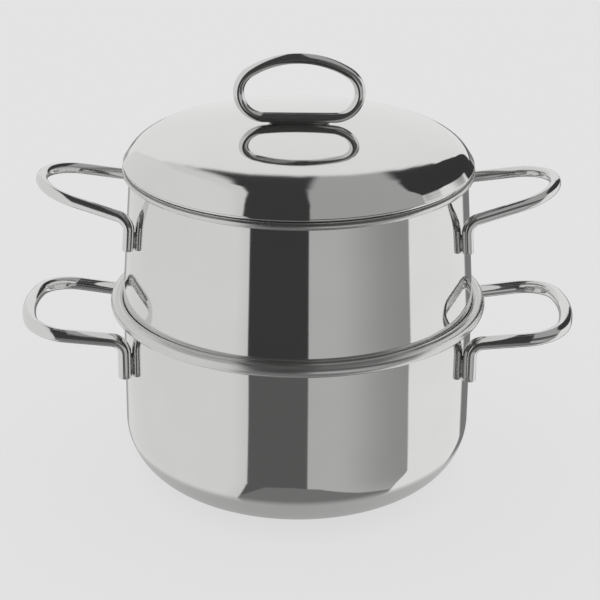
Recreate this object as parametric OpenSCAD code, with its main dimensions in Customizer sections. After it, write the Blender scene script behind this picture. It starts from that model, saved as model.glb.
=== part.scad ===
// Couscoussier: a boiling pot, a steamer that sits in its mouth, and a domed lid.
// All are drawn from steel sheet and carry welded handles of round steel rod.
// The origin is at the centre of the base, on the table. +X runs through the right-hand handles.

/* [Pot] */
// Outer radius of the pot's wall
pot_r = 121; // [100:0.5:150]
// Height of the pot from the table to the crest of its lip
pot_h = 135; // [115:0.5:190]
// Outer radius of the rounded edge between wall and bottom
pot_corner_r = 40; // [15:0.5:55]
// Thickness of the pot's sheet
pot_t = 0.8; // [0.5:0.1:1.2]
// Radius of the pot's rolled pouring lip
pot_lip_r = 4.8; // [3:0.1:6]
// How far the pot's lip is rolled round, in degrees
pot_lip_turn = 270; // [180:5:290]

/* [Base] */
// Radius of the heat-spreading base under the pot
base_r = 80; // [40:0.5:94]
// Thickness of the aluminium core
core_t = 2.7; // [2:0.1:6]
// Thickness of the steel cap round the core
cap_t = 0.8; // [0.5:0.1:1.2]

/* [Steamer] */
// How far the steamer's wall stands outside the pot's wall where it sits on the lip
seat_overhang = 0.2; // [0:0.1:1]
// Height of the steamer from its seat to the crest of its lip
steamer_h = 94.3; // [70:0.1:150]
// Taper of the steamer's wall, in degrees from upright
steamer_taper = 4; // [1:0.1:6]
// Depth of the skirt that hangs in the pot, below the seat
skirt_depth = 35; // [20:0.5:50]
// Clearance between the skirt and the pot's wall
skirt_clear = 1; // [0.5:0.1:3]
// Outer radius of the steamer's bottom edge
steamer_corner_r = 12; // [5:0.5:18]
// Thickness of the steamer's sheet
steamer_t = 0.8; // [0.5:0.1:1.2]
// Radius of the steamer's rolled lip
steamer_lip_r = 2.8; // [2.2:0.1:4]
// How far the steamer's lip is rolled round, in degrees from upright
steamer_lip_turn = 270; // [180:5:290]

/* [Steam holes] */
// Radius of one steam hole
hole_r = 2.5; // [1.5:0.1:4]
// Distance between rings of holes, and about that between holes in a ring
hole_pitch = 17; // [12:0.5:30]

/* [Lid] */
// Height of the lid from the steamer's lip to its crown
lid_h = 27.8; // [26:0.1:45]
// Radius of the lid's dome, as a share of the pot's
dome_share = 3.8; // [3.4:0.1:6]
// Radius of the lid's rounded shoulder
shoulder_r = 22; // [14:0.5:26]
// Lean of the lid's skirt, in degrees from upright
skirt_lean = 32.6; // [26:0.1:38]
// How far the lid's rim reaches past the crest of the steamer's lip
lid_overhang = 2.2; // [1.8:0.1:3]
// Depth of the collar that centres the lid in the steamer
collar_depth = 8; // [5:0.5:15]
// Clearance between the collar and the steamer's wall
collar_clear = 0.8; // [0.4:0.1:2]
// Thickness of the lid's sheet
lid_t = 0.8; // [0.5:0.1:1]

/* [Pot handles] */
// Radius of the rod
pot_rod_r = 4.6; // [3.5:0.1:5.5]
// Half the distance between the two feet
pot_foot_y = 45; // [35:0.5:52]
// Drop from the crest of the pot's lip to the feet's lower ends
pot_foot_drop = 47.5; // [44:0.5:56]
// Length of the upright foot that is welded to the wall
pot_foot_h = 18.5; // [12:0.5:20]
// Radius of the bend from the foot into the arm
pot_bend_r = 9.5; // [8:0.5:14]
// Length of the arm's straight run
pot_arm = 30; // [10:0.5:45]
// How far the arms spread from each other, in degrees each
pot_splay = 3.5; // [-5:0.5:12]
// Rise of the loop towards its end, in degrees
pot_rise = 6.5; // [0:0.5:20]
// Radius of the loop's corners
pot_corner_bend_r = 27; // [15:0.5:34]
// Half the angle that the loop's end turns through, in degrees
pot_end_turn = 14; // [8:0.5:45]

/* [Steamer handles] */
// Radius of the rod
steamer_rod_r = 3.8; // [2.5:0.1:4.5]
// Half the distance between the two feet
steamer_foot_y = 45; // [35:0.5:52]
// Drop from the crest of the steamer's lip to the feet's lower ends
steamer_foot_drop = 47.6; // [43:0.1:68]
// Length of the upright foot that is welded to the wall
steamer_foot_h = 14; // [10:0.5:16]
// Radius of the bend from the foot into the arm
steamer_bend_r = 9; // [7:0.5:12]
// Length of the arm's straight run
steamer_arm = 32.5; // [10:0.5:42]
// How far the arms spread from each other, in degrees each
steamer_splay = -15.5; // [-18:0.5:0]
// Rise of the loop towards its end, in degrees
steamer_rise = 13; // [0:0.5:20]
// Radius of the loop's corners
steamer_corner_bend_r = 34; // [20:0.5:38]
// Half the angle that the loop's end turns through, in degrees
steamer_end_turn = 45; // [30:0.5:60]

/* [Lid handle] */
// Radius of the rod
lid_rod_r = 3.6; // [2.5:0.1:4.5]
// Overall width of the oval ring
ring_w = 88.5; // [75:0.5:105]
// Overall height of the oval ring
ring_h = 48; // [44:0.5:60]
// Radius of the ring's round ends, to the middle of the rod
ring_end_r = 17; // [14:0.5:19]

/* [Hidden] */
$fn = 96;

// Room left between pieces that lift off each other, and between a rod and the wall behind it
seat_gap = 0.3;
// How far a cut runs past what it cuts
overrun = 1;
// How far a bend in sheet may stand off its true arc
chord_gap = 0.01;
// How much a rod swells at its joints, so that each joint is one clean ball
joint_swell = 0.02;
// Width of a weld between a rod and a wall, and how far it stops short of the foot's end
weld_w = 3;
weld_margin = 1.5;
// How far the weld under the lid's ring stops short of the ring's round ends
ring_weld_margin = 2.5;
// Radii of the steamer's bends below and above its seat, and the seat's angle from upright
seat_bend_r = 1.5;
seat_top_bend_r = 2.2;
seat_angle = 30;
// Inner radius of the fold in the lid's rim, and outer radius of the bend above its collar
fold_r = 0.6;
collar_bend_r = 1.8;
// Clear band between the outermost holes and the steamer's bottom edge
hole_margin = 6;

// The pot stands on its base, so its own bottom is this high
pot_floor = core_t + cap_t;
pot_lip_at = [pot_r - pot_t + pot_lip_r, pot_h - pot_lip_r];
pot_foot_z = pot_h - pot_foot_drop;

// The seat is a cone that keeps its gap from the pot's lip. It meets the wall at seat_top
seat_touch = pot_lip_at + (pot_lip_r + seat_gap) * [-cos(seat_angle), sin(seat_angle)];
seat_top_r = pot_r + seat_overhang;
seat_foot_r = pot_r - pot_t - skirt_clear;
seat_top_z = seat_touch[1] + (seat_top_r - seat_touch[0]) / tan(seat_angle);
seat_foot_z = seat_touch[1] - (seat_touch[0] - seat_foot_r) / tan(seat_angle);
steamer_floor = seat_top_z - skirt_depth;
steamer_crest = seat_top_z + steamer_h;
steamer_foot_z = steamer_crest - steamer_foot_drop;

// The wall of the steamer ends where its lip begins to roll over
roll_r = steamer_lip_r - steamer_t;
wall_end_z = steamer_crest - steamer_lip_r - roll_r * sin(steamer_taper);
wall_end_r = seat_top_r - (wall_end_z - seat_top_z) * tan(steamer_taper);
steamer_lip_at = [wall_end_r + roll_r * cos(steamer_taper), steamer_crest - steamer_lip_r];

// The lid's rim is folded round fold_at, and its skirt ends at skirt_end on the outer face
lid_rest_z = steamer_crest + seat_gap;
crown_z = lid_rest_z + lid_h;
dome_r = dome_share * pot_r;
rim_r = fold_r + lid_t;
fold_at = [steamer_lip_at[0] + lid_overhang - rim_r, lid_rest_z + rim_r];
skirt_end = fold_at + rim_r * [cos(skirt_lean), sin(skirt_lean)];
skirt_drop = crown_z - skirt_end[1];
shoulder_reach = skirt_end[0] - shoulder_r * cos(skirt_lean);
dome_turn = 90 - skirt_lean - acos((sin(skirt_lean) * (dome_r - shoulder_r * sin(skirt_lean) - skirt_drop)
    + cos(skirt_lean) * shoulder_reach) / (dome_r - shoulder_r));
skirt_len = (shoulder_reach - (dome_r - shoulder_r) * sin(dome_turn)) / sin(skirt_lean);
collar_r = wall_end_r - steamer_t - collar_clear - lid_t;

// The oval ring, to the middle of its rod: a flat bottom, two round ends and one long arch
ring_half = ring_w / 2 - lid_rod_r;
ring_rise = ring_h - 2 * lid_rod_r;
ring_flat = ring_half - ring_end_r;
ring_weld_half = ring_flat - ring_weld_margin;
arch_r = (pow(ring_rise, 2) - 2 * ring_rise * ring_end_r + pow(ring_flat, 2)) / (2 * (ring_rise - 2 * ring_end_r));
arch_turn = atan2(ring_flat, arch_r - ring_rise + ring_end_r);

function tangent_len(r, turn) = r * tan(abs(turn) / 2);

// The path of a sheet's edge from the point at, step by step, as points with their headings.
// A step is [length, 0], or [radius, turn] for a bend, and a turn to the left is positive
function path(steps, at, heading = 0, i = 0) =
    i == len(steps) ? [[at, heading]] :
    let (size = steps[i][0], turn = steps[i][1])
    turn == 0 ? concat([[at, heading]], path(steps, at + size * [cos(heading), sin(heading)], heading, i + 1)) :
    let (
        hub = at + sign(turn) * size * [-sin(heading), cos(heading)],
        parts = ceil(abs(turn) / (2 * acos(1 - chord_gap / size))),
        arc = [for (k = [0:parts]) let (a = heading + turn * k / parts)
            [hub + sign(turn) * size * [sin(a), -cos(a)], a]]
    )
    concat([for (k = [0:parts - 1]) arc[k]], path(steps, arc[parts][0], heading + turn, i + 1));

// A shell turned from sheet of thickness t, which lies to the left of its path
module shell(steps, at, t) {
    face = path(steps, at);
    back = [for (k = [len(face) - 1:-1:0]) face[k][0] + t * [-sin(face[k][1]), cos(face[k][1])]];
    rotate_extrude() polygon(concat([for (p = face) p[0]], back));
}

module pot_body() {
    roll = pot_lip_r - pot_t;
    color("lightgray") shell([
        [pot_r - pot_corner_r, 0],
        [pot_corner_r, 90],
        [pot_lip_at[1] - pot_floor - pot_corner_r, 0],
        [roll, -pot_lip_turn]
    ], [0, pot_floor], pot_t);
}

module base_core() {
    color("gainsboro") translate([0, 0, cap_t]) cylinder(r = base_r - cap_t, h = core_t);
}

module base_cap() {
    color("darkgray") difference() {
        cylinder(r = base_r, h = pot_floor);
        translate([0, 0, cap_t]) cylinder(r = base_r - cap_t, h = core_t + overrun);
    }
}

module steam_holes() {
    rings = floor((seat_foot_r - steamer_corner_r - hole_margin - hole_r) / hole_pitch);
    translate([0, 0, steamer_floor - overrun]) {
        cylinder(r = hole_r, h = steamer_t + 2 * overrun);
        for (ring = [1:rings], k = [0:6 * ring - 1])
            rotate(60 * k / ring) translate([ring * hole_pitch, 0])
                cylinder(r = hole_r, h = steamer_t + 2 * overrun);
    }
}

module steamer_body() {
    seat_len = (seat_top_r - seat_foot_r) / sin(seat_angle);
    low = tangent_len(seat_bend_r, seat_angle);
    high = tangent_len(seat_top_bend_r, seat_angle + steamer_taper);
    wall_len = (wall_end_z - seat_top_z) / cos(steamer_taper);
    color("silver") difference() {
        shell([
            [seat_foot_r - steamer_corner_r, 0],
            [steamer_corner_r, 90],
            [seat_foot_z - steamer_floor - steamer_corner_r - low, 0],
            [seat_bend_r, -seat_angle],
            [seat_len - low - high, 0],
            [seat_top_bend_r, seat_angle + steamer_taper],
            [wall_len - high, 0],
            [roll_r, -steamer_lip_turn - steamer_taper]
        ], [0, steamer_floor], steamer_t);
        steam_holes();
    }
}

module lid_shell() {
    color("lightgray") shell([
        [dome_r - lid_t, -dome_turn],
        [shoulder_r - lid_t, skirt_lean + dome_turn - 90],
        [skirt_len, 0],
        [fold_r, -90 - skirt_lean],
        [fold_at[0] - collar_r - collar_bend_r, 0],
        [collar_bend_r, 90],
        [collar_depth - collar_bend_r, 0]
    ], [0, crown_z - lid_t], lid_t);
}

// A straight run of rod along +X
module rod_run(length, r) {
    rotate([0, 90, 0]) cylinder(r = r, h = length);
}

// A bend of rod that leaves the origin along +X and turns left in the XY plane
module rod_bend(bend_r, turn, r) {
    translate([0, bend_r, 0]) rotate([0, 0, -90]) rotate_extrude(angle = turn) translate([bend_r, 0]) circle(r = r);
}

// The end of such a bend, with +X along the rod
module after_bend(bend_r, turn) {
    translate([0, bend_r, 0]) rotate([0, 0, turn]) translate([0, -bend_r, 0]) children();
}

module rod_joint(r) {
    rotate([0, 90, 0]) sphere(r = r + joint_swell);
}

// A loop handle whose two feet stand upright on z = 0 at [foot_x, foot_y] and its mirror place.
// Its loop lies in a plane that rises at the angle rise
module loop_handle(r, foot_x, foot_y, foot_h, bend_r, arm, splay, rise, corner_r, end_turn) {
    heading = atan2(sin(splay), cos(splay) * cos(rise));
    climb = asin(cos(splay) * sin(rise));
    out = bend_r * (1 - sin(climb));
    start = [foot_x + out * cos(heading), foot_y + out * sin(heading), foot_h + bend_r * cos(climb)];
    corner_turn = 90 + splay - end_turn;
    end_r = corner_r + (start[1] + arm * sin(splay) - corner_r * cos(splay)) / sin(end_turn);
    for (side = [0, 1]) mirror([0, side, 0]) {
        translate([foot_x, foot_y, 0]) {
            cylinder(r = r, h = foot_h);
            translate([0, 0, foot_h]) rotate([0, 0, heading]) rotate([90, -90, 0]) mirror([0, 1, 0]) {
                rod_joint(r);
                rod_bend(bend_r, 90 - climb, r);
            }
        }
        translate(start) rotate([0, -rise, 0]) rotate([0, 0, splay]) {
            rod_joint(r);
            rod_run(arm, r);
            translate([arm, 0, 0]) mirror([0, 1, 0]) {
                rod_joint(r);
                rod_bend(corner_r, corner_turn, r);
                after_bend(corner_r, corner_turn) {
                    rod_joint(r);
                    if (side == 0) rod_bend(end_r, 2 * end_turn, r);
                }
            }
        }
    }
}

// The welds between two upright feet and the wall, as webs from each rod's axis towards the +Z axis
module foot_welds(r, foot_x, foot_y, foot_h) {
    reach = norm([foot_x, foot_y]);
    depth = r + seat_gap + overrun;
    for (side = [-1, 1]) rotate([0, 0, side * atan2(foot_y, foot_x)])
        translate([reach - depth, -weld_w / 2, weld_margin]) cube([depth, weld_w, foot_h - 2 * weld_margin]);
}

function foot_x(wall_r, r, y) = sqrt(pow(wall_r + seat_gap + r, 2) - pow(y, 2));

module pot_handle() {
    x = foot_x(pot_r, pot_rod_r, pot_foot_y);
    color("silver") translate([0, 0, pot_foot_z]) {
        loop_handle(pot_rod_r, x, pot_foot_y, pot_foot_h, pot_bend_r, pot_arm, pot_splay, pot_rise,
            pot_corner_bend_r, pot_end_turn);
        difference() {
            foot_welds(pot_rod_r, x, pot_foot_y, pot_foot_h);
            translate([0, 0, -overrun]) cylinder(r = pot_r, h = pot_foot_h + 2 * overrun);
        }
    }
}

// The outside of the steamer's wall as a solid cone, from its seat to its lip
module steamer_wall_cone() {
    translate([0, 0, seat_top_z]) cylinder(r1 = seat_top_r, r2 = wall_end_r, h = wall_end_z - seat_top_z);
}

// The steamer's handles lean with its wall
module lean(x) {
    translate([x, 0, steamer_foot_z]) rotate([0, -steamer_taper, 0]) translate([-x, 0, 0]) children();
}

module steamer_handle() {
    wall_r = seat_top_r - (steamer_foot_z - seat_top_z) * tan(steamer_taper);
    x = foot_x(wall_r, steamer_rod_r, steamer_foot_y);
    color("silver") {
        lean(x) loop_handle(steamer_rod_r, x, steamer_foot_y, steamer_foot_h, steamer_bend_r, steamer_arm,
            steamer_splay, steamer_rise - steamer_taper, steamer_corner_bend_r, steamer_end_turn);
        difference() {
            lean(x) foot_welds(steamer_rod_r, x, steamer_foot_y, steamer_foot_h);
            steamer_wall_cone();
        }
    }
}

module pot_handle_left() {
    mirror([1, 0, 0]) pot_handle();
}

module pot_handle_right() {
    pot_handle();
}

module steamer_handle_left() {
    mirror([1, 0, 0]) steamer_handle();
}

module steamer_handle_right() {
    steamer_handle();
}

// What lies under the outer face of the lid's dome
module crown() {
    dome = path([[dome_r - lid_t, -dome_turn]], [0, crown_z - lid_t]);
    face = [for (p = dome) p[0] + lid_t * [-sin(p[1]), cos(p[1])]];
    rotate_extrude() polygon(concat(face, [[0, face[len(face) - 1][1]]]));
}

// The ring stands upright on the crown of the lid, with a weld under its flat bottom.
// The weld starts twice as deep as the dome falls at its ends
module lid_handle() {
    depth = pow(ring_weld_half, 2) / dome_r;
    color("silver") {
        translate([0, 0, crown_z + seat_gap + lid_rod_r]) rotate([90, 0, 0]) {
            translate([-ring_flat, 0, 0]) rod_run(2 * ring_flat, lid_rod_r);
            for (side = [0, 1]) mirror([side, 0, 0]) translate([ring_flat, 0, 0]) {
                rod_joint(lid_rod_r);
                rod_bend(ring_end_r, 180 - arch_turn, lid_rod_r);
                after_bend(ring_end_r, 180 - arch_turn) {
                    rod_joint(lid_rod_r);
                    rod_bend(arch_r, arch_turn, lid_rod_r);
                    if (side == 0) after_bend(arch_r, arch_turn) rod_joint(lid_rod_r);
                }
            }
        }
        difference() {
            translate([-ring_weld_half, -weld_w / 2, crown_z - depth])
                cube([2 * ring_weld_half, weld_w, depth + seat_gap + lid_rod_r]);
            crown();
        }
    }
}

pot_body();
base_core();
base_cap();
pot_handle_left();
pot_handle_right();
steamer_body();
steamer_handle_left();
steamer_handle_right();
lid_shell();
lid_handle();
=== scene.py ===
import bmesh
import bpy
from math import asin, atan2, cos, degrees, radians, sin, sqrt, tan, tau
from mathutils import Matrix, Vector


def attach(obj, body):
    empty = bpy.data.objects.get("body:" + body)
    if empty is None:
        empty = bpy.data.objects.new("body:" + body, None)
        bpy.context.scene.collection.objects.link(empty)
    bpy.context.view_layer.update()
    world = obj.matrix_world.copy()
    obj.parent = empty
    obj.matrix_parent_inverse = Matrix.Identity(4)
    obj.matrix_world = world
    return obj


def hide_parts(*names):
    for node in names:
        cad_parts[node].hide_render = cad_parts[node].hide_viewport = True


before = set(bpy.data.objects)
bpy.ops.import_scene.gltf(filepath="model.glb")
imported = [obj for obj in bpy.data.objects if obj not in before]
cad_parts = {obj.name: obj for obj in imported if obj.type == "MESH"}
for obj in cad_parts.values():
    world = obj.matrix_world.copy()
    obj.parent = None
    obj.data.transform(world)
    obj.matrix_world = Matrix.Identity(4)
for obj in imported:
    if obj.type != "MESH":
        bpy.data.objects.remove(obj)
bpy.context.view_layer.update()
scene = bpy.context.scene
print("frame loaded")

# Lengths in the dictionaries below are millimetres, as on a drawing, and angles are degrees.
# Each piece is scaled to metres as it is finished. The materials, the camera and the floor are in metres.
metre = 1000.0


class Wire:                                # the output of a node, for use in expressions
    def __init__(self, board, socket):
        self.board, self.socket = board, socket

    def __add__(self, other): return self.board.math("ADD", self, other)
    def __radd__(self, other): return self.board.math("ADD", other, self)
    def __sub__(self, other): return self.board.math("SUBTRACT", self, other)
    def __rsub__(self, other): return self.board.math("SUBTRACT", other, self)
    def __mul__(self, other): return self.board.math("MULTIPLY", self, other)
    def __rmul__(self, other): return self.board.math("MULTIPLY", other, self)
    def __truediv__(self, other): return self.board.math("DIVIDE", self, other)
    def __rtruediv__(self, other): return self.board.math("DIVIDE", other, self)


class NodeBoard:                           # the node tree of a material or world, laid out by method calls
    def __init__(self, owner):
        owner.use_nodes = True
        self.tree = owner.node_tree
        self.tree.nodes.clear()

    def node(self, kind, settings={}, inputs={}, output=0):
        made = self.tree.nodes.new(kind)
        for name, value in settings.items():
            if name == "stops":
                elements = made.color_ramp.elements
                while len(elements) < len(value):
                    elements.new(1.0)
                for element, (place, shade) in zip(elements, value):
                    element.position, element.color = place, (shade, shade, shade, 1)
            else:
                setattr(made, name, value)
        for name, value in inputs.items():
            if isinstance(value, Wire):
                self.tree.links.new(value.socket, made.inputs[name])
            else:
                made.inputs[name].default_value = value
        return Wire(self, made.outputs[output]) if len(made.outputs) else made

    def math(self, operation, *values):
        return self.node("ShaderNodeMath", {"operation": operation}, dict(enumerate(values)))

    def ramp(self, place, stops):          # places and shades both run from 0 to 1
        return self.node("ShaderNodeValToRGB", {"stops": stops}, {0: place})

    def fade(self, value, low, high, toLow=0.0, toHigh=1.0):    # smooth step between two values
        return self.node("ShaderNodeMapRange", {"interpolation_type": "SMOOTHSTEP"},
                         {0: value, 1: low, 2: high, 3: toLow, 4: toHigh})

    def blend(self, share, a, b):          # numbers
        return self.node("ShaderNodeMix", {"data_type": "FLOAT"}, {0: share, 2: a, 3: b})

    def tint(self, share, a, b):           # colours
        return self.node("ShaderNodeMix", {"data_type": "RGBA"}, {0: share, 6: a, 7: b}, 2)

    def noise(self, place, scale, detail, roughness):
        return self.node("ShaderNodeTexNoise", {}, {"Vector": place, "Scale": scale, "Detail": detail,
                                                     "Roughness": roughness})

    def place(self, kind="Object"):
        return self.node("ShaderNodeTexCoord", {}, {}, kind)

    def length(self, vector):
        return self.node("ShaderNodeVectorMath", {"operation": "LENGTH"}, {0: vector}, "Value")

    def ray(self, kind):
        return self.node("ShaderNodeLightPath", {}, {}, kind)

    def split(self, vector):
        made = self.node("ShaderNodeSeparateXYZ", {}, {0: vector})
        return [Wire(self, out) for out in made.socket.node.outputs]

    def join(self, x, y, z):
        return self.node("ShaderNodeCombineXYZ", {}, {0: x, 1: y, 2: z})


class SheetEdge:                           # the edge of a sheet in the XZ plane, drawn bend by bend
    def __init__(self, x, z):
        self.bm = bmesh.new()
        self.tip = self.bm.verts.new((x, 0, z))
        self.heading = 0.0

    def step(self, length):
        self.tip = bmesh.ops.extrude_vert_indiv(self.bm, verts=[self.tip])["verts"][0]
        along = Vector((cos(self.heading), 0, sin(self.heading)))
        bmesh.ops.translate(self.bm, verts=[self.tip], vec=length * along)

    def run(self, length, guard=0.25):     # the short steps keep the shading of the run straight
        for part in (guard, length - 2 * guard, guard):
            self.step(part)

    def bend(self, radius, turn, steps):   # a turn to the left is positive
        side = 1 if turn > 0 else -1
        hub = self.tip.co + side * radius * Vector((-sin(self.heading), 0, cos(self.heading)))
        made = bmesh.ops.spin(self.bm, geom=[self.tip], cent=hub, axis=(0, -1, 0), dvec=(0, 0, 0),
                              angle=radians(turn), steps=steps)
        self.tip = next(v for v in made["geom_last"] if isinstance(v, bmesh.types.BMVert))
        self.heading += radians(turn)

    def turned(self, steps=288):
        bmesh.ops.spin(self.bm, geom=self.bm.verts[:] + self.bm.edges[:], cent=(0, 0, 0), axis=(0, 0, 1),
                       dvec=(0, 0, 0), angle=tau, steps=steps, use_merge=True)
        bmesh.ops.remove_doubles(self.bm, verts=self.bm.verts, dist=0.001)
        faceDown(self.bm)
        return self.bm


def faceDown(bm):                          # the face nearest the axis looks down, and the rest follows from it
    bmesh.ops.recalc_face_normals(bm, faces=bm.faces)
    bm.normal_update()
    middle = min(bm.faces, key=lambda f: Vector(f.calc_center_median().xy).length)
    if middle.normal.z > 0:
        bmesh.ops.reverse_faces(bm, faces=bm.faces)


class BentRod:                             # a round rod, bent as on a bench
    def __init__(self, radius, place, along, sides=32, capped=True):
        self.bm = bmesh.new()
        self.place, self.along = Vector(place), Vector(along).normalized()
        matrix = Matrix.Translation(self.place) @ self.along.to_track_quat("Z", "X").to_matrix().to_4x4()
        made = bmesh.ops.create_circle(self.bm, cap_ends=capped, segments=sides, radius=radius, matrix=matrix)
        self.rim = list({e for v in made["verts"] for e in v.link_edges})
        self.ends = [self.rim] if capped else []

    def run(self, length, steps=3):
        for _ in range(steps):
            made = bmesh.ops.extrude_edge_only(self.bm, edges=self.rim)["geom"]
            verts = [v for v in made if isinstance(v, bmesh.types.BMVert)]
            bmesh.ops.translate(self.bm, verts=verts, vec=length / steps * self.along)
            self.rim = [e for e in made if isinstance(e, bmesh.types.BMEdge) and set(e.verts) <= set(verts)]
        self.place += length * self.along

    def bend(self, radius, turn, axis, steps):
        axis = Vector(axis).normalized()
        hub = self.place + radius * axis.cross(self.along)
        verts = list({v for e in self.rim for v in e.verts})
        made = bmesh.ops.spin(self.bm, geom=verts + self.rim, cent=hub, axis=axis, dvec=(0, 0, 0),
                              angle=radians(turn), steps=steps)["geom_last"]
        self.rim = [e for e in made if isinstance(e, bmesh.types.BMEdge)]
        spun = Matrix.Rotation(radians(turn), 3, axis)
        self.place, self.along = hub + spun @ (self.place - hub), spun @ self.along

    def cap(self):
        bmesh.ops.edgeloop_fill(self.bm, edges=self.rim)
        self.ends.append(self.rim)

    def close(self):                       # the last ring meets the first
        bmesh.ops.remove_doubles(self.bm, verts=self.bm.verts, dist=0.01)


def toMetres(bm):
    bmesh.ops.scale(bm, verts=bm.verts, vec=(1 / metre, 1 / metre, 1 / metre))


def asObject(name, bm, materials):
    mesh = bpy.data.meshes.new(name)
    bm.to_mesh(mesh)
    bm.free()
    made = bpy.data.objects.new(name, mesh)
    scene.collection.objects.link(made)
    for material in materials:
        mesh.materials.append(material)
    return made


def piece(name, bm, body, node, materials, thickness=0.0, sharpAngle=40):
    toMetres(bm)
    made = asObject(name, bm, materials)
    if thickness:                          # the sheet grows behind the face that was drawn
        sheet = made.modifiers.new("sheet", "SOLIDIFY")
        sheet.thickness, sheet.offset = thickness / metre, -1
        sheet.use_even_offset = sheet.use_quality_normals = True
        sheet.material_offset = sheet.material_offset_rim = len(materials) - 1
        bpy.context.view_layer.update()
        solid = bpy.data.meshes.new_from_object(made.evaluated_get(bpy.context.evaluated_depsgraph_get()))
        made.modifiers.clear()
        made.data = solid
    made.data.shade_smooth()
    made.data.set_sharp_from_angle(angle=radians(sharpAngle))
    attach(made, body)
    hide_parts(node)
    print(name, len(made.data.polygons), "faces")
    return made


# Scales count the noise's cells per metre, and the depth is in metres. "drift" lets the round lines
# wander, "share" is how much of the roughness the grain makes, and "dim" is the darkest mottle.
polish = {"lines": 1400.0, "drift": 3.0, "even": 500.0, "mottle": 22.0, "wear": 160.0, "share": 0.7,
          "dim": 0.975, "depth": 0.0002}


def steelFinish(name, colour, rough, grain="round", grainDepth=0.02, cloud=0.015):
    material = bpy.data.materials.new(name)
    board = NodeBoard(material)
    place = board.place()
    x, y, z = board.split(place)
    if grain == "round":                   # polishing lines run round the vessel
        radius = board.length(board.join(x, y, 0.0))
        lines = board.join(radius * polish["lines"], z * polish["lines"], x * polish["drift"])
    else:                                  # drawn rod and rolled plate: grain without one direction
        lines = board.join(x * polish["even"], y * polish["even"], z * polish["even"])
    fine = board.noise(lines, scale=1.0, detail=3.0, roughness=0.6)
    soft = board.noise(place, scale=polish["mottle"], detail=2.0, roughness=0.5)
    wear = board.noise(place, scale=polish["wear"], detail=4.0, roughness=0.65)
    roughness = rough + (fine - 0.5) * (rough * polish["share"]) + (wear - 0.5) * cloud
    dim = (*[c * polish["dim"] for c in colour], 1)
    shade = board.tint(board.fade(soft, 0.3, 0.7), dim, (*colour, 1))
    bump = board.node("ShaderNodeBump", {}, {"Strength": grainDepth, "Distance": polish["depth"], "Height": fine})
    steel = board.node("ShaderNodeBsdfPrincipled", {}, {"Base Color": shade, "Metallic": 1.0,
                                                        "Roughness": roughness, "Normal": bump})
    board.node("ShaderNodeOutputMaterial", {}, {"Surface": steel})
    return material


mirrorSteel = steelFinish("mirrorSteel", (0.80, 0.80, 0.79), 0.045)
satinSteel = steelFinish("satinSteel", (0.74, 0.74, 0.73), 0.24, grainDepth=0.12, cloud=0.05)
rodSteel = steelFinish("rodSteel", (0.79, 0.785, 0.78), 0.10, grain="even", grainDepth=0.015)
capSteel = steelFinish("capSteel", (0.70, 0.70, 0.69), 0.22, grainDepth=0.2, cloud=0.06)
rolledAluminium = steelFinish("rolledAluminium", (0.82, 0.82, 0.83), 0.38, grain="even", grainDepth=0.1)
print("finishes made")


pot = {"wallR": 121.0, "height": 135.0, "cornerR": 40.0, "sheet": 0.8, "lipR": 4.8, "lipTurn": 270.0, "floor": 3.5}


def potBody():
    roll = pot["lipR"] - pot["sheet"]
    edge = SheetEdge(0, pot["floor"])
    edge.run(pot["wallR"] - pot["cornerR"])
    edge.bend(pot["cornerR"], 90, steps=36)
    edge.run(pot["height"] - pot["lipR"] - pot["floor"] - pot["cornerR"])
    edge.bend(roll, -pot["lipTurn"], steps=42)
    return piece("pot", edge.turned(), "pot", "pot_body", [mirrorSteel, satinSteel], pot["sheet"])


base = {"radius": 80.0, "height": 3.5, "edgeR": 1.1, "sheet": 0.8}


def baseCap():
    edge = SheetEdge(0, 0)
    edge.run(base["radius"] - base["edgeR"])
    edge.bend(base["edgeR"], 90, steps=6)
    edge.run(base["height"] - base["edgeR"])
    return piece("base", edge.turned(steps=192), "pot", "base_cap", [capSteel], base["sheet"])


potBody()
baseCap()


steamer = {"floor": 98.8336, "footR": 119.2, "cornerR": 12.0, "seatFoot": 130.3695, "seatBendR": 1.5, "seatAngle": 30.0,
           "seatTopR": 121.2, "seatTop": 133.8336, "topBendR": 2.2, "taper": 4.0, "height": 94.3, "lipR": 2.8,
           "lipTurn": 270.0, "sheet": 0.8, "plateR": 98.0}
holes = {"radius": 2.5, "pitch": 17.0, "rows": 5, "sides": 20}


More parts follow.
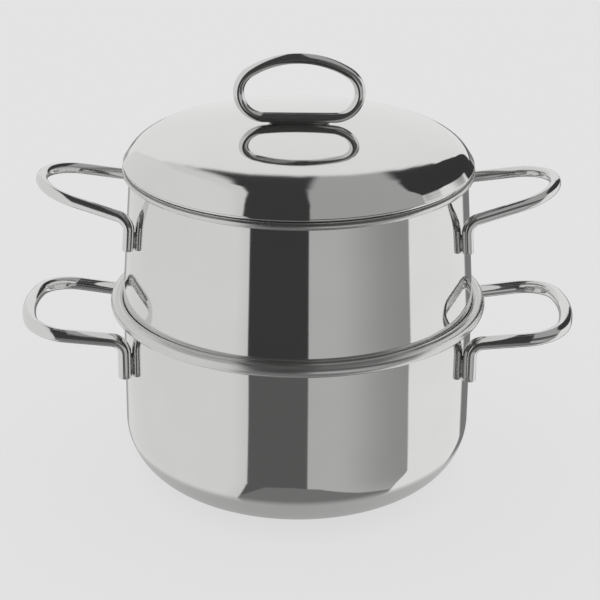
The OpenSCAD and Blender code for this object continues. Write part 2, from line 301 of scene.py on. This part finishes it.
def steamerBody():
    lean, seat = radians(steamer["taper"]), radians(steamer["seatAngle"])
    roll = steamer["lipR"] - steamer["sheet"]
    low = steamer["seatBendR"] * tan(seat / 2)
    high = steamer["topBendR"] * tan((seat + lean) / 2)
    wallEnd = steamer["seatTop"] + steamer["height"] - steamer["lipR"] - roll * sin(lean)
    edge = SheetEdge(steamer["plateR"], steamer["floor"])
    edge.run(steamer["footR"] - steamer["cornerR"] - steamer["plateR"])
    edge.bend(steamer["cornerR"], 90, steps=14)
    edge.run(steamer["seatFoot"] - steamer["floor"] - steamer["cornerR"] - low)
    edge.bend(steamer["seatBendR"], -steamer["seatAngle"], steps=6)
    edge.run((steamer["seatTopR"] - steamer["footR"]) / sin(seat) - low - high)
    edge.bend(steamer["topBendR"], steamer["seatAngle"] + steamer["taper"], steps=8)
    edge.run((wallEnd - steamer["seatTop"]) / cos(lean) - high)
    edge.bend(roll, -steamer["lipTurn"] - steamer["taper"], steps=33)
    bm = edge.turned()
    # the perforated plate fills the middle, which the edge left open
    rim = [e for e in bm.edges if e.is_boundary and all(v.co.z < steamer["floor"] + 0.01 for v in e.verts)]
    spots = [(0.0, 0.0)]
    for row in range(1, holes["rows"] + 1):
        reach, count = row * holes["pitch"], 6 * row
        spots += [(reach * cos(tau * k / count), reach * sin(tau * k / count)) for k in range(count)]
    for x, y in spots:
        made = bmesh.ops.create_circle(bm, segments=holes["sides"], radius=holes["radius"],
                                       matrix=Matrix.Translation((x, y, steamer["floor"])))
        rim += {e for v in made["verts"] for e in v.link_edges}
    bmesh.ops.triangle_fill(bm, edges=list(set(rim)), use_beauty=True, use_dissolve=False, normal=(0, 0, -1))
    faceDown(bm)
    return piece("steamer", bm, "steamer", "steamer_body", [mirrorSteel, satinSteel],
                 steamer["sheet"])


steamerBody()


lid = {"crown": 256.2266, "domeR": 459.8, "domeTurn": 12.8389, "shoulderR": 22.0, "skirtLean": 32.6, "skirt": 5.4039,
       "foldR": 0.6, "ledge": 3.4, "collarBendR": 1.8, "collarDepth": 8.0, "sheet": 0.8}


def lidShell():                            # drawn along the inner face, so the polish is on the grown side
    edge = SheetEdge(0, lid["crown"] - lid["sheet"])
    edge.bend(lid["domeR"] - lid["sheet"], -lid["domeTurn"], steps=28)
    edge.bend(lid["shoulderR"] - lid["sheet"], lid["skirtLean"] + lid["domeTurn"] - 90, steps=28)
    edge.run(lid["skirt"])
    edge.bend(lid["foldR"], -90 - lid["skirtLean"], steps=14)
    edge.run(lid["ledge"])
    edge.bend(lid["collarBendR"], 90, steps=8)
    edge.run(lid["collarDepth"] - lid["collarBendR"])
    return piece("lid", edge.turned(), "lid", "lid_shell", [satinSteel, mirrorSteel], lid["sheet"])


lidShell()


potLoop = {"wallR": 121.0, "lean": 0.0, "rod": 4.6, "footY": 45.0, "footZ": 87.5, "footH": 18.5, "bendR": 9.5,
           "arm": 30.0, "splay": 3.5, "rise": 6.5, "cornerR": 27.0, "endTurn": 14.0}
steamerLoop = {"wallR": 117.9344, "lean": 4.0, "rod": 3.8, "footY": 45.0, "footZ": 180.5336, "footH": 14.0,
               "bendR": 9.0, "arm": 32.5, "splay": -15.5, "rise": 13.0, "cornerR": 34.0, "endTurn": 45.0}
fitting = {"gap": 0.3, "endRound": 0.7, "weldWidth": 4.2, "weldDepth": 1.3, "weldShort": 2.0}


def seam(bm, place, size, turn=0.0):       # a weld: a long soft bead between a rod and what it stands on
    matrix = Matrix.Translation(place) @ Matrix.Rotation(turn, 4, "Z") @ Matrix.Diagonal((*[s / 2 for s in size], 1))
    bmesh.ops.create_uvsphere(bm, u_segments=20, v_segments=14, radius=1, matrix=matrix)


def loopHandle(name, body, node, loop, side):
    splay, rise = radians(loop["splay"]), radians(loop["rise"] - loop["lean"])
    climb = asin(cos(splay) * sin(rise))
    footX = sqrt((loop["wallR"] + fitting["gap"] + loop["rod"]) ** 2 - loop["footY"] ** 2)
    startY = loop["footY"] + loop["bendR"] * (1 - sin(climb)) * sin(atan2(sin(splay), cos(splay) * cos(rise)))
    corner, end = loop["cornerR"], radians(loop["endTurn"])
    endR = corner + (startY + loop["arm"] * sin(splay) - corner * cos(splay)) / sin(end)
    outwards = Vector((cos(splay) * cos(rise), sin(splay), cos(splay) * sin(rise)))
    across = Vector((-sin(rise), 0, cos(rise)))
    rod = BentRod(loop["rod"], (footX, loop["footY"], loop["footZ"]), (0, 0, 1))
    rod.run(loop["footH"])
    rod.bend(loop["bendR"], 90 - degrees(climb), Vector((0, 0, 1)).cross(outwards), steps=14)
    rod.run(loop["arm"])
    rod.bend(corner, 90 + loop["splay"] - loop["endTurn"], -across, steps=22)
    rod.bend(endR, 2 * loop["endTurn"], -across, steps=24)
    rod.bend(corner, 90 + loop["splay"] - loop["endTurn"], -across, steps=22)
    rod.run(loop["arm"])
    rod.bend(loop["bendR"], 90 - degrees(climb), rod.along.cross(Vector((0, 0, -1))), steps=14)
    rod.run(loop["footH"])
    rod.cap()
    bm = rod.bm
    bmesh.ops.recalc_face_normals(bm, faces=bm.faces)
    bmesh.ops.bevel(bm, geom=[e for end in rod.ends for e in end], offset=fitting["endRound"], segments=3,
                    profile=0.5, affect="EDGES", material=-1)
    for way in (-1, 1):
        turn = way * atan2(loop["footY"], footX)
        reach = loop["wallR"] + fitting["gap"] / 2
        seam(bm, (reach * cos(turn), reach * sin(turn), loop["footZ"] + loop["footH"] / 2),
             (fitting["weldDepth"], fitting["weldWidth"], loop["footH"] - fitting["weldShort"]), turn)
    bmesh.ops.rotate(bm, verts=bm.verts, cent=(footX, 0, loop["footZ"]),
                     matrix=Matrix.Rotation(-radians(loop["lean"]), 3, "Y"))
    if side < 0:
        bmesh.ops.scale(bm, verts=bm.verts, vec=(-1, 1, 1))
    bmesh.ops.recalc_face_normals(bm, faces=bm.faces)
    return piece(name, bm, body, node, [rodSteel])


loopHandle("potHandleRight", "pot", "pot_handle_right", potLoop, 1)
loopHandle("potHandleLeft", "pot", "pot_handle_left", potLoop, -1)
loopHandle("steamerHandleRight", "steamer", "steamer_handle_right", steamerLoop, 1)
loopHandle("steamerHandleLeft", "steamer", "steamer_handle_left", steamerLoop, -1)


ring = {"rod": 3.6, "width": 88.5, "height": 48.0, "endR": 17.0, "weld": (42.3, 3.8, 1.3), "weldSink": 0.1}


def lidRing():
    rise = ring["height"] - 2 * ring["rod"]
    flat = ring["width"] / 2 - ring["rod"] - ring["endR"]
    archR = (rise ** 2 - 2 * rise * ring["endR"] + flat ** 2) / (2 * (rise - 2 * ring["endR"]))
    archTurn = degrees(atan2(flat, archR - rise + ring["endR"]))
    foot = lid["crown"] + fitting["gap"] + ring["rod"]
    rod = BentRod(ring["rod"], (0, 0, foot), (1, 0, 0), capped=False)
    rod.run(flat)
    rod.bend(ring["endR"], 180 - archTurn, (0, -1, 0), steps=34)
    rod.bend(archR, 2 * archTurn, (0, -1, 0), steps=28)
    rod.bend(ring["endR"], 180 - archTurn, (0, -1, 0), steps=34)
    rod.run(flat)
    rod.close()
    bm = rod.bm
    seam(bm, (0, 0, lid["crown"] - ring["weldSink"]), ring["weld"])
    bmesh.ops.recalc_face_normals(bm, faces=bm.faces)
    return piece("lidRing", bm, "lid", "lid_handle", [rodSteel])


lidRing()
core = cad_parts["base_core"]         # out of sight between the pot and its base, so its shape stays
core.data.materials.clear()
core.data.materials.append(rolledAluminium)
print("pieces made")


view = {"place": (0.0016, -1.2549, 0.6481), "down": 22.546, "roll": 0.47, "focalPixels": 1945.2, "framePixels": 600,
        "sensor": 36.0}
cameraData = bpy.data.cameras.new("camera")
cameraData.sensor_width = view["sensor"]
cameraData.lens = view["focalPixels"] / view["framePixels"] * cameraData.sensor_width
camera = bpy.data.objects.new("camera", cameraData)
scene.collection.objects.link(camera)
camera.matrix_world = (Matrix.Translation(view["place"]) @ Matrix.Rotation(radians(90 - view["down"]), 4, "X")
                       @ Matrix.Rotation(radians(view["roll"]), 4, "Z"))
scene.camera = camera


# "even" is how much of the floor's tone is its own. Polished steel mirrors the floor out to "mirrored"
# from the middle as a glowing painted shade in place of the floor in the pot's shadow, which grows by "aside" towards
# the left and right.
floor = {"radius": 6.0, "shade": 0.77, "even": 0.85, "mirrored": 0.132, "soft": 0.008, "paintedFloorShade": 0.41, "aside": 8.0}


def floorDisc():
    bm = bmesh.new()
    bmesh.ops.create_circle(bm, cap_ends=True, segments=96, radius=floor["radius"])
    material = bpy.data.materials.new("paleFloor")
    board = NodeBoard(material)
    place = board.place()
    x, y, z = board.split(place)
    tone = (floor["shade"], floor["shade"], floor["shade"], 1)
    shadow = board.node("ShaderNodeBsdfDiffuse", {}, {"Color": tone})
    even = board.node("ShaderNodeEmission", {}, {"Color": tone})
    pale = board.node("ShaderNodeMixShader", {}, {0: floor["even"], 1: shadow, 2: even})
    # painted shade: polished steel sees this glowing tone near the pot in place of the floor in its shadow, lighter to
    # the sides
    shade = floor["paintedFloorShade"] + x * x * floor["aside"]
    paintedFloorShade = board.node("ShaderNodeEmission", {}, {"Color": board.join(shade, shade, shade)})
    clear = board.node("ShaderNodeBsdfTransparent")
    beyond = board.fade(board.length(place), floor["mirrored"] - floor["soft"], floor["mirrored"] + floor["soft"])
    mirrored = board.node("ShaderNodeMixShader", {}, {0: beyond, 1: paintedFloorShade, 2: clear})
    surface = board.node("ShaderNodeMixShader", {}, {0: board.ray("Is Glossy Ray"), 1: pale, 2: mirrored})
    board.node("ShaderNodeOutputMaterial", {}, {"Surface": surface})
    asObject("floor", bm, [material])


# Two glowing sheets lie flat round the pan, each over a lip, and paint shade into what the lips mirror: a dark line of
# painted shade along each lip, with lighter painted reflection beside it. Only polished steel below them sees them.
# The stops run from left to right: place across the sheet, and painted shade.
paintedLipShades = {
    "potLipPaintedShade": {"height": 150.0, "inner": 127.0, "outer": 150.0,
                "stops": [(-180, 0.75), (-115, 0.70), (-95, 0.45), (-50, 0.45), (-40, 0.08), (12, 0.08), (20, 0.14),
                          (68, 0.16), (85, 0.38), (97, 0.52), (118, 0.68), (180, 0.75)]},
    "steamerLipPaintedShade": {"height": 230.5, "inner": 119.6, "outer": 135.0,
                    "stops": [(-180, 0.25), (-55, 0.20), (-40, 0.03), (12, 0.03), (20, 0.045), (90, 0.10),
                              (120, 0.20)]},
}
paintedShadeSpan = 360.0                           # all stops lie within this width


def paintLipShade(name, shadeSheet):
    edge = SheetEdge(shadeSheet["inner"], shadeSheet["height"])
    edge.step(shadeSheet["outer"] - shadeSheet["inner"])
    bm = edge.turned(steps=96)
    toMetres(bm)
    material = bpy.data.materials.new(name)
    board = NodeBoard(material)
    x, y, z = board.split(board.place())
    # painted shade and reflection: the sheet's glow, by place across it, sets the dark line and the lighter tones the
    # lips mirror
    shade = board.ramp(x / (paintedShadeSpan / metre) + 0.5, [(0.5 + at / paintedShadeSpan, tone) for at, tone in shadeSheet["stops"]])
    above = board.node("ShaderNodeNewGeometry", {}, {}, "Backfacing")
    clear = board.node("ShaderNodeBsdfTransparent")
    dark = board.node("ShaderNodeEmission", {}, {"Color": shade})
    seen = board.ray("Is Glossy Ray") * (1.0 - above)
    surface = board.node("ShaderNodeMixShader", {}, {0: seen, 1: clear, 2: dark})
    board.node("ShaderNodeOutputMaterial", {}, {"Surface": surface})
    asObject(name, bm, [material])


# Edges of the studio's flags and light panels, as seen from the pot. The first number is the height
# angle over the top, from -90 straight down over 0 (the camera) and 90 (straight up) to 180 (behind);
# the second is how far the edge lies to the right, as a share of the direction.
flagEdges = {
    "left": [(-90, 0), (-82, -0.32), (-73, -0.428), (-61, -0.456), (-48, -0.475), (-35, -0.485), (-30, -0.471),
             (-15, -0.506), (0, -0.519), (50, -0.489), (61, -0.453), (80, -0.37), (105, -0.24), (133, -0.13),
             (139.4, -0.128), (141.2, -0.143), (142.9, -0.157), (144.9, -0.175), (148, -0.193), (151, -0.17),
             (160, -0.20), (180, -0.3)],
    "stripe": [(-90, 0), (-60, 0.065), (-45, 0.0915), (-30, 0.112), (0, 0.125), (45, 0.108), (62, 0.099),
               (77, 0.077), (93, 0.055), (110, 0.038), (131, 0.02), (137, 0.023), (139, 0.032), (180, 0.03)],
    "grey": [(-90, 0.58), (-85, 0.648), (-78, 0.738), (-74, 0.82), (-71, 0.874), (-66, 0.887), (-60, 0.914),
             (-45, 0.954), (-30, 0.969), (0, 0.976), (45, 0.985), (90, 0.95), (95.5, 0.93), (96.8, 0.85),
             (101.3, 0.692), (110.7, 0.547), (124, 0.366), (142, 0.17), (155, 0.06), (180, 0)],
}
# The light panel behind the pot: half its width and its height, both as shares of the distance
panel = [(0, 0.861), (0.07, 0.843), (0.12, 0.817), (0.16, 0.773), (0.192, 0.722), (0.22, 0.675), (0.23, 0.635),
         (0.24, 0.605), (0.248, 0.572), (0.257, 0.54), (0.30, 0.52), (0.39, 0.48), (0.47, 0.38), (0.48, 0.09),
         (0.5, 0.0)]
# Where the light on the right ends and the dark above it starts, from the camera's side to behind
wedgeEdge = [(-1, 0.45), (0.05, 0.45), (0.09, 0.43), (0.18, 0.394), (0.27, 0.354), (0.37, 0.325), (0.46, 0.267),
             (0.56, 0.20), (0.67, 0.126), (0.72, 0.10), (0.76, 0.03), (0.81, -0.03), (0.86, -0.09), (0.92, -0.13),
             (1, -0.2)]
# Where the dark ground before the pot starts, from left to right
lowEdge = [(-0.5, -0.85), (-0.45, -0.80), (-0.38, -0.62), (-0.31, -0.51), (-0.06, -0.49), (0.23, -0.54),
           (0.40, -0.66), (0.52, -0.74), (0.66, -0.78), (0.75, -1)]
light = {"left": 0.75, "leftInner": 0.68, "right": 0.85, "back": 0.83, "stripeHigh": 0.045, "stripeLow": 0.11,
         "greyNear": 0.48, "greyFar": 0.295, "greyHigh": 0.39, "band": 0.10, "low": 0.19, "wedge": 0.04,
         "behindLeft": 0.38, "behindRight": 0.20, "dull": 1.0, "backdrop": 0.77}
# How the parts of the studio give way to each other, from one value to the next, as shares of the direction
zones = {"lid": (0.05, 0.35), "low": (0.015, -0.015), "stripe": (-0.38, -0.30), "grey": (0.38, 0.98),
         "leftInner": (-0.14, 0.0), "wedge": (-0.012, 0.012), "side": (-0.01, 0.01), "behind": (0.03, -0.03),
         "behindTop": (-0.14, -0.01), "panelTop": (0.012, -0.012), "panelFoot": (-0.01, 0.01),
         "panelEnd": (0.50, 0.48), "footAside": (0.10, 0.16), "footHeight": (-0.18, -0.07), "ahead": (0.0, 0.05)}
# The same in degrees: the dark band overhead, and the turn to the side at which the far studio starts
turns = {"bandStart": (84, 88), "bandEnd": (132, 128), "behind": (156, 161), "rightSooner": 15,
         "behindTop": (163, 169)}
edgeSoft = {"walls": 0.006, "lid": 0.004, "greyOnLid": 0.014}


def studio():
    world = bpy.data.worlds.new("studio")
    scene.world = world
    board = NodeBoard(world)
    x, y, z = board.split(board.place("Generated"))
    aside = board.math("ABSOLUTE", x)
    over = board.math("ARCTAN2", z, y * -1.0) / tau + 0.25
    over = over - board.math("FLOOR", over)

    def edgeOf(place, stops):              # places and heights run from -1 to 1
        return board.ramp(place * 0.5 + 0.5, [((at + 1) / 2, (height + 1) / 2) for at, height in stops]) * 2.0 - 1.0

    def rightOf(name):                     # how far a direction lies to the right of a flag's edge
        stops = [((angle + 90) / 360, (share + 1) / 2) for angle, share in flagEdges[name]]
        return x - (board.ramp(over, stops) * 2.0 - 1.0)

    def past(distance, lidSoft):
        soft = high * lidSoft + edgeSoft["walls"]
        return board.fade(distance, -1.0 * soft, soft)

    def turnShare(name):                   # shares of a full turn
        return [angle / 360 for angle in turns[name]]

    def turnAngle(name):
        return [radians(angle) for angle in turns[name]]

    high = board.fade(z, *zones["lid"])    # 1 where the lid looks, 0 where the walls look
    fromLeft = rightOf("left")
    pastLeft = past(fromLeft, edgeSoft["lid"])
    pastStripe = past(rightOf("stripe"), edgeSoft["lid"])
    pastGrey = past(rightOf("grey"), edgeSoft["greyOnLid"])
    low = board.fade(z - edgeOf(x, lowEdge), *zones["low"])
    band = board.fade(over, *turnShare("bandStart")) * board.fade(over, *turnShare("bandEnd"))
    dark = board.fade(z, *zones["stripe"], light["stripeLow"], light["stripeHigh"])
    dark = board.blend(low, dark, light["low"])
    grey = board.fade(x, *zones["grey"], light["greyNear"], light["greyFar"])
    grey = board.blend(band, board.blend(high, grey, light["greyHigh"]), light["band"])
    grey = board.blend(low, grey, light["low"])
    left = board.fade(fromLeft, *zones["leftInner"], light["left"], light["leftInner"])
    right = board.blend(board.fade(edgeOf(y, wedgeEdge) - z, *zones["wedge"]), light["wedge"], light["right"])
    shade = board.blend(pastLeft, left, board.blend(pastStripe, dark, board.blend(pastGrey, grey, right)))
    # what the outermost strip of each wall mirrors, from behind the pot
    azimuth = board.math("ARCTAN2", aside, y * -1.0)
    onRight = board.fade(x, *zones["side"])
    top = board.fade(azimuth, *turnAngle("behindTop"), *zones["behindTop"])
    behind = board.fade(azimuth + onRight * radians(turns["rightSooner"]), *turnAngle("behind"))
    behind = behind * board.fade(z - top, *zones["behind"])
    shade = board.blend(behind, shade, board.blend(onRight, light["behindLeft"], light["behindRight"]))
    # the rounded light panel behind the pot, which the lid's top mirrors
    ahead = board.math("MAXIMUM", y, 0.001)
    aside = aside / ahead
    top = board.ramp(aside * 2.0, [(place * 2, height) for place, height in panel])
    foot = board.fade(aside, *zones["footAside"], *zones["footHeight"])
    onPanel = board.fade(z / ahead - top, *zones["panelTop"]) * board.fade(z - foot, *zones["panelFoot"])
    onPanel = onPanel * board.fade(aside, *zones["panelEnd"]) * board.fade(y, *zones["ahead"])
    shade = board.blend(onPanel, shade, light["back"])
    # dull surfaces get one even light, and the camera sees a pale backdrop
    shade = board.blend(board.ray("Is Glossy Ray"), light["dull"], shade)
    shade = board.blend(board.ray("Is Camera Ray"), shade, light["backdrop"])
    background = board.node("ShaderNodeBackground", {}, {"Color": (1, 1, 1, 1), "Strength": shade})
    board.node("ShaderNodeOutputWorld", {}, {"Surface": background})


floorDisc()
# the glowing sheets of painted lip shade
for name in paintedLipShades:
    paintLipShade(name, paintedLipShades[name])
studio()
scene.view_settings.view_transform = "Standard"
print("studio made")
